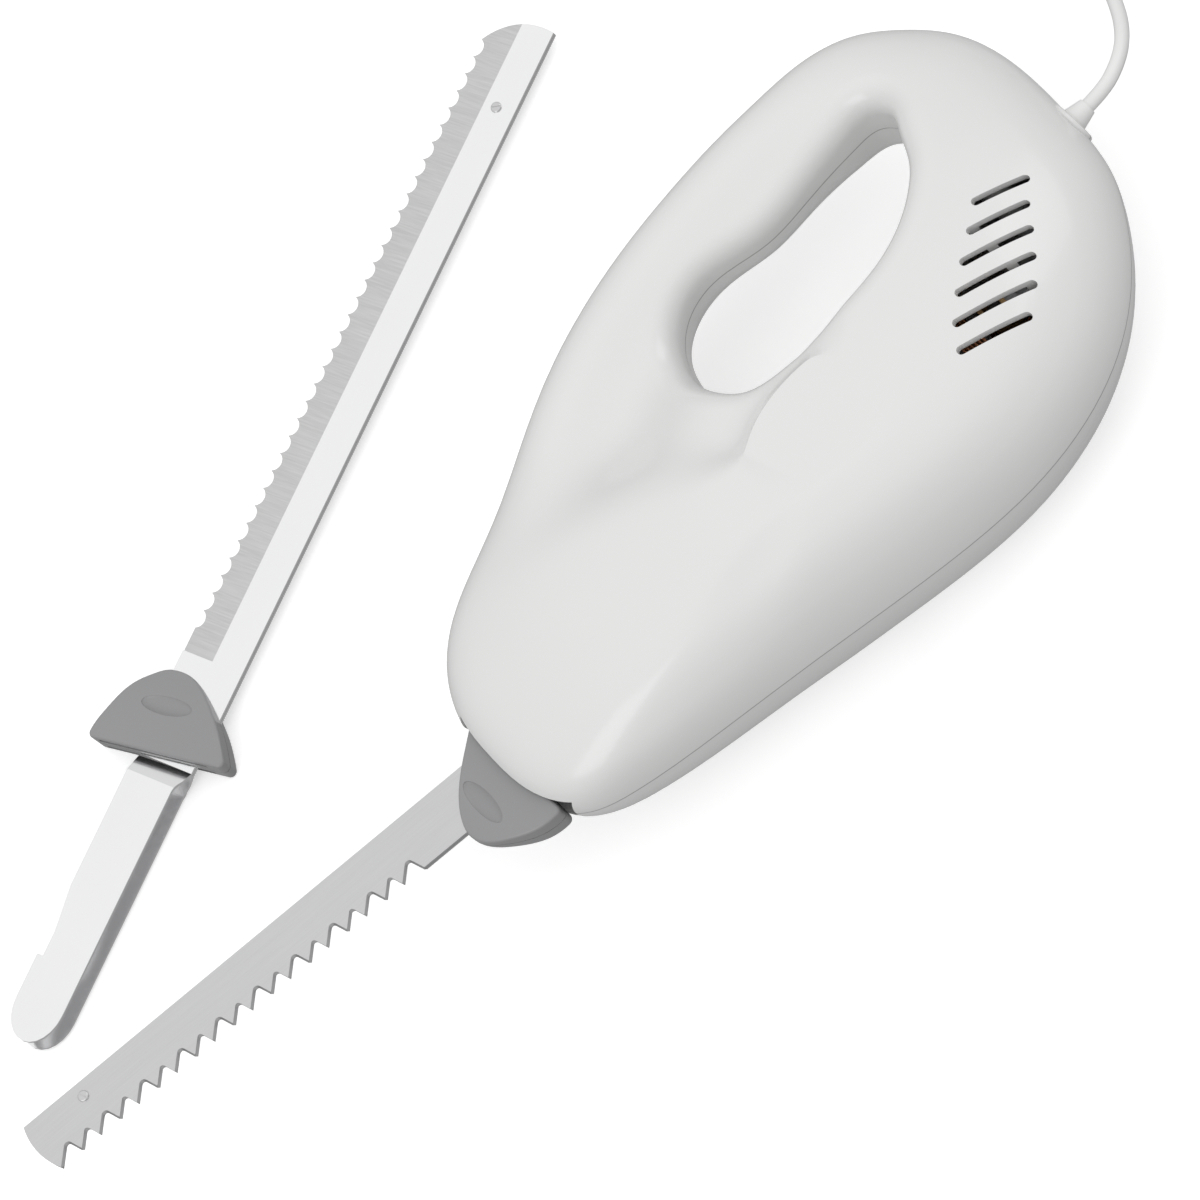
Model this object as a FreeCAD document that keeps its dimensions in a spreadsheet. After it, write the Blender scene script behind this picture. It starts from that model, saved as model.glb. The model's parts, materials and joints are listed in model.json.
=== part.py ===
import FreeCAD, Part
import Sketcher
import math
import os
import re

# An electric carving knife lying on its right side, with a spare pair of blades beside it.
# While it is drawn, X runs back along the drive axis from the nose, Y up towards the hand grip and Z to
# the left of the knife, with the parting plane of the housing at zero. The finished nodes are moved so
# that the origin is under the middle of the whole set, on the surface that it lies on.

V = FreeCAD.Vector
doc = FreeCAD.newDocument("carving_knife")
sheet = doc.addObject("Spreadsheet::Sheet", "dims")

# Driving dimensions in millimetres and degrees
sizes = {
    "body_length": 243.6,
    "top_height": 89.3,
    "bottom_depth": 62.5,
    "half_width": 36.0,
    "wall": 2.6,
    "loop_length": 93.5,
    "loop_height": 51.0,
    "loop_x": 165.0,
    "loop_y": 34.0,
    "loop_round": 8.0,
    "rib": 3.0,
    "clearance": 0.3,
    "seat": 0.1,
    "vent_width": 2.7,
    "vent_pitch": 8.85,
    "screw_radius": 1.5,
    "screw_head": 2.9,
    "boss_radius": 4.5,
    "drive_y": -2.5,
    "blade_tilt": 7.5,
    "blade_thick": 1.0,
    "blade_gap": 0.05,
    "spine": 8.8,
    "edge": -8.7,
    "saw_reach": 169.5,
    "rivet_back": 19.5,
    "rivet_y": 4.3,
    "slice_reach": 234.1,
    "slice_spine": 10.8,
    "slice_edge": -10.9,
    "slice_rivet_back": 27.0,
    "slice_rivet_y": 4.4,
    "slice_base": 8.3,
    "edge_thick": 0.18,
    "rivet_radius": 1.3,
    "rivet_head": 1.7,
    "saw_pitch": 7.0,
    "saw_bevel": 0.5,
    "scallop_pitch": 5.73,
    "scallop_depth": 2.0,
    "grind_width": 10.8,
    "band_end": 23.0,
    "tang_width": 16.8,
    "tang_gap": 3.2,
    "tang_end": 98.2,
    "notch_back": 27.0,
    "notch_depth": 2.0,
    "guard_thick": 5.2,
    "guard_base": 6.0,
    "stroke": 4.0,
    "cam_radius": 7.0,
    "cam_slack": 1.0,
    "axle_radius": 2.0,
    "running": 0.05,
    "wheel_x": 108.0,
    "wheel_half": 2.8,
    "tooth_module": 1.25,
    "wheel_teeth": 24,
    "worm_starts": 2,
    "worm_radius": 5.5,
    "worm_length": 16.0,
    "shaft_radius": 2.5,
    "slider_in": 4.5,
    "slider_out": 9.0,
    "slider_half": 11.0,
    "frame_half": 14.2,
    "plate_thick": 2.5,
    "core_x": 145.0,
    "core_length": 30.0,
    "core_radius": 23.0,
    "bore_radius": 13.5,
    "air_gap": 0.5,
    "coil_head": 7.0,
    "coil_in": 13.8,
    "coil_out": 17.0,
    "coil_half": 14.5,
    "coil_window": 9.5,
    "fan_front": 14.0,
    "fan_radius": 19.0,
    "bracket_back": 22.0,
    "bracket_radius": 14.0,
    "brush_front": 12.0,
    "brush_back": 17.0,
    "brush_half": 3.0,
    "brush_out": 18.0,
    "holder_wall": 1.5,
    "holder_in": 9.5,
    "holder_out": 20.0,
    "arm_in": 10.5,
    "arm_out": 13.5,
    "commutator_radius": 8.0,
    "press_travel": 3.0,
    "button_x": 138.0,
    "button_half": 10.0,
    "button_side": 6.0,
    "switch_base": 64.5,
    "switch_height": 7.5,
    "release_half": 9.0,
    "release_side": 5.0,
    "spring_radius": 2.4,
    "spring_wire": 0.35,
    "cord_radius": 2.2,
    "cord_pitch": 4.9,
    "coil_radius": 31.5,
    "tie_thick": 0.5,
    "exit_y": 12.0,
    "relief_out": 6.0,
    "lead_radius": 1.6,
    "plug_width": 35.3,
    "plug_length": 36.0,
    "pin_radius": 2.0,
    "pin_length": 19.0,
    "pin_spacing": 18.6,
}
for row, (alias, value) in enumerate(sizes.items(), start=1):
    sheet.set(f"A{row}", alias)
    sheet.set(f"B{row}", str(value))
    sheet.setAlias(f"B{row}", alias)
doc.recompute()


class Sizes:
    def __getattr__(self, name):
        return float(getattr(sheet, name))


dim = Sizes()
nodes = {}
floor = -dim.half_width


# Small builders: document objects whose sizes and places are formulas of the sheet's values
def bind(item, prop, formula):
    def cell(word):
        return "dims." + word.group() if word.group() in sizes else word.group()
    item.setExpression(prop, re.sub(r"[a-z]\w*", cell, str(formula)))


def place(item, start):
    for axis, formula in zip("xyz", start):
        bind(item, f"Placement.Base.{axis}", formula)


def block(name, xs, ys, zs):
    item = doc.addObject("Part::Box", name)
    for side, (low, high) in zip(("Length", "Width", "Height"), (xs, ys, zs)):
        bind(item, side, f"({high}) - ({low})")
    place(item, (xs[0], ys[0], zs[0]))
    return item


turns = {"x": FreeCAD.Rotation(V(0, 1, 0), 90), "y": FreeCAD.Rotation(V(1, 0, 0), -90), "z": FreeCAD.Rotation()}


def rod(name, way, radius, start, length):
    item = doc.addObject("Part::Cylinder", name)
    item.Placement = FreeCAD.Placement(V(), turns[way])
    bind(item, "Radius", radius)
    bind(item, "Height", length)
    place(item, start)
    return item


def cone(name, way, radii, start, length):
    item = doc.addObject("Part::Cone", name)
    item.Placement = FreeCAD.Placement(V(), turns[way])
    bind(item, "Radius1", radii[0])
    bind(item, "Radius2", radii[1])
    bind(item, "Height", length)
    place(item, start)
    return item


def fuse(name, *parts):
    item = doc.addObject("Part::MultiFuse", name)
    item.Shapes = list(parts)
    return item


def cut(name, base, *tools):
    item = doc.addObject("Part::Cut", name)
    item.Base = base
    item.Tool = tools[0] if len(tools) == 1 else fuse(name + "_tools", *tools)
    return item


def mirror(name, source):
    item = doc.addObject("Part::Mirroring", name)
    item.Source = source
    item.Normal = V(0, 0, 1)
    return item


def made(name, shape):
    item = doc.addObject("Part::Feature", name)
    item.Shape = shape
    return item


def node(label, *parts):
    item = doc.addObject("Part::Compound", label + "_node")
    item.Links = list(parts)
    item.Label = label
    nodes[label] = item
    return item


def prism(points, low, high):
    corners = [V(x, y, low) for x, y in points]
    return Part.Face(Part.makePolygon(corners + corners[:1])).extrude(V(0, 0, high - low))


def box(xs, ys, zs):
    return Part.makeBox(xs[1] - xs[0], ys[1] - ys[0], zs[1] - zs[0], V(xs[0], ys[0], zs[0]))


def closed_spline(points):
    curve = Part.BSplineCurve()
    curve.interpolate(Points=points, PeriodicFlag=True)
    return curve.toShape()


def outward(points):
    # Unit normals of a closed loop of points, pointing out of it
    count = len(points)
    area = 0.0
    for i in range(count):
        following = points[(i + 1) % count]
        area += points[i].x * following.y - following.x * points[i].y
    normals = []
    for i in range(count):
        along = points[(i + 1) % count] - points[i - 1]
        side = V(along.y, -along.x, 0) if area > 0 else V(-along.y, along.x, 0)
        normals.append(side.normalize())
    return normals


# Housing: the outline at the parting plane, as shares of the length and of the height or depth
rim_shares = [
    (0.035, 0.355), (0.006, 0.168), (0.003, -0.098), (0.0235, -0.4), (0.083, -0.55), (0.162, -0.632),
    (0.332, -0.755), (0.463, -0.857), (0.575, -0.932), (0.68, -0.955), (0.836, -0.803), (0.917, -0.562),
    (0.961, -0.335), (0.984, -0.163), (0.9955, 0.012), (1.003, 0.2), (1.0045, 0.4), (0.9842, 0.645),
    (0.942, 0.81), (0.877, 0.95), (0.805, 0.992), (0.735, 1.006), (0.628, 1.002), (0.493, 0.957),
    (0.3415, 0.823), (0.186, 0.603),
]
# Hand loop: shares of its half length and half height about its middle
loop_shares = [
    (0.637, 0.895), (0.257, 0.875), (-0.123, 0.868), (-0.519, 1.02), (-0.783, 0.905), (-0.943, 0.625),
    (-1.014, 0.235), (-0.995, -0.2), (-0.87, -0.7), (-0.675, -0.925), (-0.46, -1.025), (-0.21, -1.052),
    (0.016, -1.036), (0.265, -0.955), (0.483, -0.785), (0.66, -0.55), (0.8, -0.25), (0.895, 0.15),
    (0.955, 0.58), (0.87, 0.83),
]
# Rings from the rim to the flat of the side: share of the way out, slope, and share of the half width on
# the motor side, the grip and the nose
ring_shares = [
    (1.0, 0, 0.0, 0.0, 0.0), (0.975, 35, 0.25, 0.23, 0.24), (0.93, 55, 0.415, 0.34, 0.37),
    (0.85, 70, 0.59, 0.385, 0.5), (0.72, 80, 0.77, 0.31, 0.66), (0.55, 86, 0.905, 0.5, 0.81),
    (0.38, 89, 0.98, 0.74, 0.93), (0.2, 90, 1.0, 1.0, 1.0),
]
rim_count = 40
middle = V(0.525 * dim.body_length, -0.35 * dim.bottom_depth, 0)


def rim_points():
    points = []
    for along, across in rim_shares:
        reach = dim.top_height if across > 0 else dim.bottom_depth
        points.append(V(along * dim.body_length, across * reach, 0))
    return closed_spline(points).discretize(Number=rim_count + 1)[:-1]


def loop_points(grow):
    half_length = dim.loop_length / 2
    half_height = dim.loop_height / 2
    points = [V(dim.loop_x + a * half_length, dim.loop_y + b * half_height, 0) for a, b in loop_shares]
    return [p + n * grow for p, n in zip(points, outward(points))]


def fade(angle, centre, flat, soft):
    off = abs((angle - centre + 180) % 360 - 180)
    if off <= flat:
        return 1.0
    return math.cos(math.radians(90 * min(1.0, (off - flat) / soft))) ** 2


def body_solid(inset):
    # The left half of the body, its skin moved inwards by the inset, with the hand loop through it
    rim = rim_points()
    normals = outward(rim)
    rings = []
    for share, slope, side, grip, nose in ring_shares:
        ring = []
        for point, normal in zip(rim, normals):
            angle = math.degrees(math.atan2(point.y - middle.y, point.x - middle.x))
            at_grip = fade(angle, 90, 27, 34)
            at_nose = fade(angle, 168, 10, 40) * (1 - at_grip)
            height = (1 - at_grip - at_nose) * side + at_grip * grip + at_nose * nose
            skin = middle + (point - middle) * share + V(0, 0, height * dim.half_width)
            lean = math.radians(slope)
            ring.append(skin - (normal * math.cos(lean) + V(0, 0, math.sin(lean))) * inset)
        rings.append(ring)
    rings.insert(0, [V(p.x, p.y, -p.z) for p in rings[1]])
    wires = [Part.Wire(closed_spline(ring)) for ring in rings]
    skin = Part.makeLoft(wires, False, False, False)
    closed = Part.Shell(list(skin.Faces) + [Part.Face(wires[-1]), Part.makeFilledFace(wires[0].Edges)])
    far = 2 * dim.body_length
    upper = box((-far, far), (-far, far), (0, 2 * dim.half_width))
    half = Part.Solid(closed).common(upper)
    loop = Part.Face(Part.Wire(closed_spline(loop_points(inset)))).extrude(V(0, 0, 2 * dim.half_width))
    half = half.cut(loop)
    reach = loop.BoundBox
    reach.enlarge(2 * dim.wall)
    rounded = [e for e in half.Edges if reach.isInside(e.BoundBox) and e.BoundBox.ZMin > dim.loop_round / 2]
    return half.makeFillet(dim.loop_round - inset, rounded)


# Where the parts of the drive and of the housing lie
motor_y = dim.drive_y - dim.wheel_teeth * dim.tooth_module / 2 - dim.worm_radius
motor_line = "(drive_y - wheel_teeth * tooth_module / 2 - worm_radius)"
plate_in = dim.slider_out + dim.clearance
plate_out = plate_in + dim.plate_thick
core_end = dim.core_x + dim.core_length
bracket_x = core_end + dim.bracket_back
press_x = dim.tang_end - dim.notch_back - 8
shelf_y = 38.0
release_base = 50.0
# Housing screws: place, and how far the shank runs to each side of the parting plane
screw_places = [
    (28, 27, 9), (30, -26, 11), (112, -46, 11), (214, 8, 11), (224, 68, 6), (98, 58, 8.5), (188, -45, 11),
]
shelf_reach = dim.release_half + 1
buttons = [
    (dim.button_x, dim.button_half, dim.button_side, dim.switch_base + dim.switch_height + 5),
    (press_x, dim.release_half, dim.release_side, release_base - 1),
]


def upright(xs, hole):
    # A rib across the housing below the grip, open where the piece that it carries lies
    far = dim.body_length
    return box(xs, (-far, dim.loop_y), (-1, far)).cut(hole)


def axial(radius, xs, y):
    return Part.makeCylinder(radius, xs[1] - xs[0], V(xs[0], y, 0), V(1, 0, 0))


def spot(x, y, radius, low, high):
    return Part.makeCylinder(radius, high - low, V(x, y, low))


def inner_solids():
    # Ribs, bosses, chimneys and shelves inside one half of the housing
    far = dim.body_length
    seat = dim.seat
    solids = []
    frame_room = dim.frame_half + seat
    frame_hole = box((0, far), (dim.drive_y - frame_room, dim.drive_y + frame_room), (-2, plate_out + seat))
    solids.append(upright((dim.tang_end - 22, dim.tang_end - 22 + dim.rib), frame_hole))
    for x in (dim.core_x + 5, core_end - 5 - dim.rib):
        core_hole = axial(dim.core_radius + seat, (x - 1, x + dim.rib + 1), motor_y)
        solids.append(upright((x, x + dim.rib), core_hole))
    bush_hole = axial(dim.shaft_radius + 4, (bracket_x, bracket_x + 20), motor_y)
    solids.append(upright((bracket_x + 3, bracket_x + 3 + dim.rib), bush_hole))
    for x, y, run in screw_places:
        solids.append(spot(x, y, dim.boss_radius, -1, far))
    for x in (dim.button_x - 8, dim.button_x + 8 - dim.rib):
        solids.append(box((x, x + dim.rib), (dim.switch_base - 12, dim.switch_base - seat), (-1, far)))
    solids.append(box((press_x + 3, press_x + shelf_reach), (shelf_y, shelf_y + dim.rib), (-1, far)))
    for middle_x, half, side, base in buttons:
        outer = box((middle_x - half - 2, middle_x + half + 2), (base, far), (-1, side + 2))
        solids.append(outer)
    return solids


outer_half = body_solid(0.0)
inner_half = body_solid(dim.wall)


def vents():
    # Six slots that step down and forward along the rear of the side
    slots = []
    half_width = dim.vent_width / 2
    lean = math.radians(-12.5)
    first = V(214.6, -1.2, dim.half_width / 2)
    step = V(-0.683, -0.73, 0) * dim.vent_pitch
    for count, length in enumerate((14.3, 16.1, 19.3, 21.5, 22.5, 19.7)):
        run = V(math.cos(lean), math.sin(lean), 0) * (length / 2)
        centre = first + step * count
        across = V(-run.y, run.x, 0).normalize() * half_width
        corners = [centre - run + across, centre + run + across, centre + run - across, centre - run - across]
        slot = Part.Face(Part.makePolygon(corners + corners[:1])).extrude(V(0, 0, dim.half_width))
        for end in (centre - run, centre + run):
            slot = slot.fuse(Part.makeCylinder(half_width, dim.half_width, end))
        slots.append(slot)
    return slots


def joined(outer, hollow):
    # The hollow lies inside the outer solid and meets it only in the parting plane, so their skins and the
    # flat rim between them are sewn into one solid
    def flat(face):
        return abs(face.BoundBox.ZMax) < 1e-6 and abs(face.BoundBox.ZMin) < 1e-6

    mouths = Part.makeCompound([face for face in hollow.Faces if flat(face)])
    rim = Part.makeCompound([face for face in outer.Faces if flat(face)]).cut(mouths)
    outside = [face for face in outer.Faces if not flat(face)]
    inside = [face.reversed() for face in hollow.Faces if not flat(face)]
    skin = Part.makeCompound(outside + rim.Faces + inside)
    skin.sewShape()
    return Part.Solid(skin.Shells[0])


def housing():
    # One half, drawn as the left one: a skin with ribs inside, and every opening through it
    far = dim.body_length
    slack = dim.clearance
    cuts = vents()
    guard_low = dim.drive_y - 24.5
    guard_high = dim.drive_y + 20.5
    slot_back = dim.guard_base + dim.stroke + 3
    cuts.append(box((-20, slot_back), (guard_low, guard_high), (-1, dim.guard_thick + 1.2)))
    for middle_x, half, side, base in buttons:
        reach = half + slack
        cuts.append(box((middle_x - reach, middle_x + reach), (base - 2, far), (-1, side + slack)))
    cuts.append(axial(4.0 + dim.seat, (far - 10, far + 10), dim.exit_y))
    return joined(outer_half, inner_half.cut(inner_solids())).cut(cuts)


half_shell = housing()
left_holes = [spot(x, y, dim.screw_radius + dim.running, -1, run + 1) for x, y, run in screw_places]
right_holes = [spot(x, y, dim.screw_radius + dim.seat, -1, run + 1) for x, y, run in screw_places]
right_holes += [spot(x, y, dim.screw_head + dim.seat, run, 2 * dim.half_width) for x, y, run in screw_places]
left_shell = made("left_shell", half_shell.cut(left_holes))
right_shell = made("right_shell", half_shell.cut(right_holes).mirror(V(), V(0, 0, 1)))
node("left_housing", left_shell)
node("right_housing", right_shell)

screws = []
head_height = 2.2
for count, (x, y, run) in enumerate(screw_places):
    head_face = -run - head_height
    shank = rod(f"shank_{count}", "z", "screw_radius", (x, y, -run), 2 * run)
    head = rod(f"head_{count}", "z", "screw_head", (x, y, head_face), head_height)
    depth = (head_face - 1, head_face + 1.2)
    first_slot = block(f"first_slot_{count}", (x - 1.7, x + 1.7), (y - 0.4, y + 0.4), depth)
    second_slot = block(f"second_slot_{count}", (x - 0.4, x + 0.4), (y - 1.7, y + 1.7), depth)
    screws.append(cut(f"screw_{count}", fuse(f"screw_blank_{count}", shank, head), first_slot, second_slot))
node("housing_screws", *screws)


# Blades: a flat toothed part that leans against the base of its guard, joggled out to a straight tang
flat_in = dim.blade_gap
flat_out = dim.blade_gap + dim.blade_thick
saw_front, saw_back = 41.0, 24.0
gullet_round = 0.9
# Guard outlines from the motor side round the point to the grip side, measured from the base and the tang
saw_guard = [
    (0, -22.8), (-8.2, -21.8), (-17.4, -16), (-22.6, -10.4), (-24, -5.2), (-22.8, -0.9), (-12, 10.4),
    (-4.3, 15.7), (0, 19),
]
slice_guard = [
    (2.3, -24), (-2.7, -23.1), (-8.3, -21), (-13.4, -18.8), (-18.2, -15.4), (-20.9, -12.2), (-23.1, -8.9),
    (-24, -4.5), (-22.6, 1.4), (-17.9, 8), (-14.1, 11.8), (-9.4, 16), (-4.2, 19.7), (2.3, 23.4),
]
# The fitted pair's tangs lie along the drive; the spare pair's tangs lie along their blades
saw_pair = {
    "reach": dim.saw_reach, "spine": dim.spine, "edge": dim.edge, "rivet_back": dim.rivet_back,
    "rivet_y": dim.rivet_y, "tip": ((2.8, dim.edge), (-0.6, 1.0), (0, dim.spine)), "guard": saw_guard,
    "base": dim.guard_base, "tang_y": dim.drive_y, "tang_lean": 0.0, "pocket_top": 12.0,
}
slice_pair = {
    "reach": dim.slice_reach, "spine": dim.slice_spine, "edge": dim.slice_edge,
    "rivet_back": dim.slice_rivet_back, "rivet_y": dim.slice_rivet_y,
    "tip": ((8.8, dim.slice_edge), (0.4, 0.5), (0, dim.slice_spine)), "guard": slice_guard,
    "base": dim.slice_base, "tang_y": 0.0, "tang_lean": dim.blade_tilt, "pocket_top": 16.5,
}


def gullet(start, level, spread):
    # One gullet between two teeth, whose points lean towards the tip, widened by the spread
    left = V(-math.sin(math.radians(saw_front)), -math.cos(math.radians(saw_front)), 0)
    right = V(math.sin(math.radians(saw_back)), -math.cos(math.radians(saw_back)), 0)
    bisector = (left + right).normalize()
    half = math.radians((saw_front + saw_back) / 2)
    slopes = math.tan(math.radians(saw_front)) + math.tan(math.radians(saw_back))
    depth = dim.saw_pitch / slopes
    root = V(start + depth * math.tan(math.radians(saw_front)), dim.edge + depth, level)
    root = root - bisector * (spread / math.sin(half))
    radius = gullet_round + spread
    first = root + left * (radius / math.tan(half))
    second = root + right * (radius / math.tan(half))
    top = root + bisector * (radius / math.sin(half) - radius)
    below = dim.edge - 1
    low_left = root + left * ((below - root.y) / left.y)
    low_right = root + right * ((below - root.y) / right.y)
    edges = [
        Part.LineSegment(low_left, first), Part.Arc(first, top, second), Part.LineSegment(second, low_right),
        Part.LineSegment(low_right, low_left),
    ]
    return Part.Wire([edge.toShape() for edge in edges])


def saw_cutters():
    # The gullets are bevelled on the outer and on the inner face by turns
    cutters = []
    first = -dim.saw_reach + 3.5
    narrow = -0.2 * dim.saw_bevel
    wide = 1.2 * dim.saw_bevel
    for step in range(int((dim.saw_reach - 32) / dim.saw_pitch)):
        start = first + step * dim.saw_pitch
        inner, outer = (narrow, wide) if step % 2 == 0 else (wide, narrow)
        low = gullet(start, flat_in - 0.2, inner)
        high = gullet(start, flat_out + 0.2, outer)
        cutters.append(Part.makeLoft([low, high], True, True))
    return cutters


def slice_cutters():
    # Scallops along the edge, and the plane that grinds the outer face down to it
    radius = (dim.scallop_pitch * 0.96) ** 2 / (8 * dim.scallop_depth) + dim.scallop_depth / 2
    cutters = []
    first = -dim.slice_reach + 8.8
    count = int((dim.slice_reach - dim.band_end - 15) / dim.scallop_pitch)
    for step in range(count):
        centre_x = first + (step + 0.5) * dim.scallop_pitch
        centre = V(centre_x, dim.slice_edge - radius + dim.scallop_depth, flat_in - 1)
        cutters.append(Part.makeCylinder(radius, dim.blade_thick + 2, centre))
    start = -dim.slice_reach - 10
    top = dim.slice_edge + dim.grind_width
    below = 3.0
    slope = (dim.blade_thick - dim.edge_thick) / dim.grind_width
    low = flat_in + dim.edge_thick - below * slope
    face = [
        V(start, top, flat_out), V(start, dim.slice_edge - below, low),
        V(start, dim.slice_edge - below, flat_out + 1), V(start, top, flat_out + 1),
    ]
    wedge = Part.Face(Part.makePolygon(face + face[:1])).extrude(V(-start - dim.band_end, 0, 0))
    return cutters + [wedge]


def tang_solid(pair):
    # The strip seen from above, joggled outwards behind the guard, kept inside its outline seen from the side
    base = pair["base"]
    start, bend, flat = -6.0, base + 2, base + 8
    end = base + dim.tang_end - dim.guard_base
    inner, outer = dim.tang_gap, dim.tang_gap + dim.blade_thick
    ease = 0.45
    strip = [
        (start, flat_in), (bend, flat_in), (flat, inner), (end, inner), (end, outer), (flat - ease, outer),
        (bend - ease, flat_out), (start, flat_out),
    ]
    corners = [V(x, -40, z) for x, z in strip]
    strip_solid = Part.Face(Part.makePolygon(corners + corners[:1])).extrude(V(0, 80, 0))
    half = dim.tang_width / 2
    low = pair["tang_y"] - half
    high = pair["tang_y"] + half
    notch = end - dim.notch_back
    deep = low + dim.notch_depth
    tongue = 11.0
    outline = [(start, low), (notch - 20, low), (notch - 6, deep), (notch + 2, deep), (notch + 2, low)]
    for degrees in range(-90, 91, 15):
        angle = math.radians(degrees)
        across = pair["tang_y"] + half * math.sin(angle)
        outline.append((end - tongue + tongue * math.cos(angle), across))
    outline += [
        (base + 9, high), (base + 6.5, high + 0.4), (base + 4.5, high + 1.2), (base + 1.5, high + 1.7),
        (start, high + 1.7),
    ]
    whole = strip_solid.common(prism(outline, flat_in - 1, outer + 1))
    return whole.rotate(V(), V(0, 0, 1), -pair["tang_lean"])


def tilted(shape):
    return shape.rotate(V(), V(0, 0, 1), -dim.blade_tilt)


def blade_solid(pair, cutters, hole):
    # The left blade; its tip is an arc from the edge to the spine
    low, middle_point, high = [V(-pair["reach"] + x, y, 0) for x, y in pair["tip"]]
    tip = Part.Arc(low, middle_point, high).toShape()
    back = pair["base"]
    corners = [high, V(back, pair["spine"], 0), V(back, pair["edge"], 0), low]
    outline = Part.Wire([tip] + Part.makePolygon(corners).Edges)
    flat = Part.Face(outline).extrude(V(0, 0, dim.blade_thick))
    flat.translate(V(0, 0, flat_in))
    flat = tilted(flat.cut(cutters).cut(hole))
    root = box((-300, back), (-60, 60), (-5, 5))
    return flat.common(root).fuse(tang_solid(pair)).removeSplitter()


def rivet_centre(pair):
    return V(-pair["reach"] + pair["rivet_back"], pair["rivet_y"], 0)


def rivet_hole(pair):
    return Part.makeCylinder(dim.rivet_radius, 10, rivet_centre(pair) + V(0, 0, -5))


def rivet_slot(pair):
    # The other blade's slot lies along the tangs and leaves room for both strokes
    half = 2 * dim.stroke + dim.clearance
    radius = dim.rivet_radius + dim.seat
    slot = box((-half, half), (-radius, radius), (-5, 5))
    for end in (-half, half):
        slot = slot.fuse(Part.makeCylinder(radius, 10, V(end, 0, -5)))
    slot = slot.rotate(V(), V(0, 0, 1), dim.blade_tilt - pair["tang_lean"])
    slot.translate(rivet_centre(pair))
    return slot


def rivet_solid(pair):
    # A domed near head with a groove across it, and a far head wide enough to hold the slotted blade
    head = 0.6
    far_head = dim.rivet_head + 0.9
    centre = FreeCAD.Rotation(V(0, 0, 1), -dim.blade_tilt).multVec(rivet_centre(pair))
    low = centre - V(0, 0, flat_out + dim.seat)
    high = centre + V(0, 0, flat_out)
    shank = Part.makeCylinder(dim.rivet_radius, 2 * flat_out + dim.seat, low)
    near = Part.makeCylinder(dim.rivet_head, head, high)
    near = near.makeFillet(0.45, [edge for edge in near.Edges if edge.BoundBox.ZMin > high.z + head - 0.01])
    groove = box((-3, 3), (-0.18, 0.18), (head - 0.3, head + 1))
    groove.rotate(V(), V(0, 0, 1), 110)
    groove.translate(high)
    far = Part.makeCylinder(far_head, head, low - V(0, 0, head))
    return shank.fuse([near.cut(groove), far])


def guard_solid(pair, blade):
    # The left half guard: crowned towards its rounded point, hollow at the back, closed round its blade
    level = dim.blade_gap + dim.seat
    thick = dim.guard_thick
    points = [V(dim.guard_base + x, dim.drive_y + y, level) for x, y in pair["guard"]]
    curve = Part.BSplineCurve()
    curve.interpolate(Points=points)
    outline = Part.Wire([curve.toShape(), Part.makeLine(points[-1], points[0])])
    whole = Part.Face(outline).extrude(V(0, 0, thick - level))

    def standing(edge):
        return abs(edge.tangentAt(edge.FirstParameter).z) > 0.99

    whole = whole.makeFillet(1.8, [edge for edge in whole.Edges if standing(edge)])
    back = pair["base"]
    crown_radius = 85.0
    crown = [V(back - run, -50, thick - run ** 2 / (2 * crown_radius)) for run in (14, 30)]
    start = V(back + 2, -50, thick)
    arc = Part.Arc(start, crown[0], crown[1]).toShape()
    above = 20.0
    lines = Part.makePolygon([crown[1], V(back - 30, -50, above), V(back + 2, -50, above), start])
    whole = whole.cut(Part.Face(Part.Wire([arc] + lines.Edges)).extrude(V(0, 100, 0)))
    rim = []
    for edge in whole.Edges:
        ends = [edge.valueAt(edge.FirstParameter), edge.valueAt(edge.LastParameter)]
        if min(end.z for end in ends) > 0.8 and not standing(edge):
            rim.append(edge)
    whole = whole.makeFillet(1.0, rim)
    dent = Part.makeSphere(1.0)
    stretch = FreeCAD.Matrix()
    stretch.scale(3.2, 8.6, 1.3)
    dent = dent.transformGeometry(stretch)
    dent.translate(V(back - 14.5, dim.drive_y - 2.5, thick - 1.3))
    pocket_y = (dim.drive_y - 20.5, dim.drive_y + pair["pocket_top"])
    pocket = box((back - 8, back + 1), pocket_y, (flat_out + 1.0, thick - 1.2))
    return whole.cut([dent, pocket, blade])


def blade_set(prefix, pair, cutters, turn):
    # Two blades, their half guards and the tip rivet, as nodes
    left = blade_solid(pair, cutters, rivet_hole(pair))
    right = blade_solid(pair, cutters, rivet_slot(pair)).mirror(V(), V(0, 0, 1))
    guard = guard_solid(pair, left)
    pieces = {
        "left_blade": left, "right_blade": right, "left_guard": guard,
        "right_guard": guard.mirror(V(), V(0, 0, 1)), "blade_rivet": rivet_solid(pair),
    }
    for name, shape in pieces.items():
        item = made(prefix + name + "_shape", shape)
        item.Placement = turn
        node(prefix + name, item)


spare_turn = FreeCAD.Rotation(V(0, 0, 1), 208.4)
spare_place = FreeCAD.Placement(V(-60.6, 103.0, floor + dim.guard_thick), spare_turn)
blade_set("", saw_pair, saw_cutters(), FreeCAD.Placement())
blade_set("spare_", slice_pair, slice_cutters(), spare_place)


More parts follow.
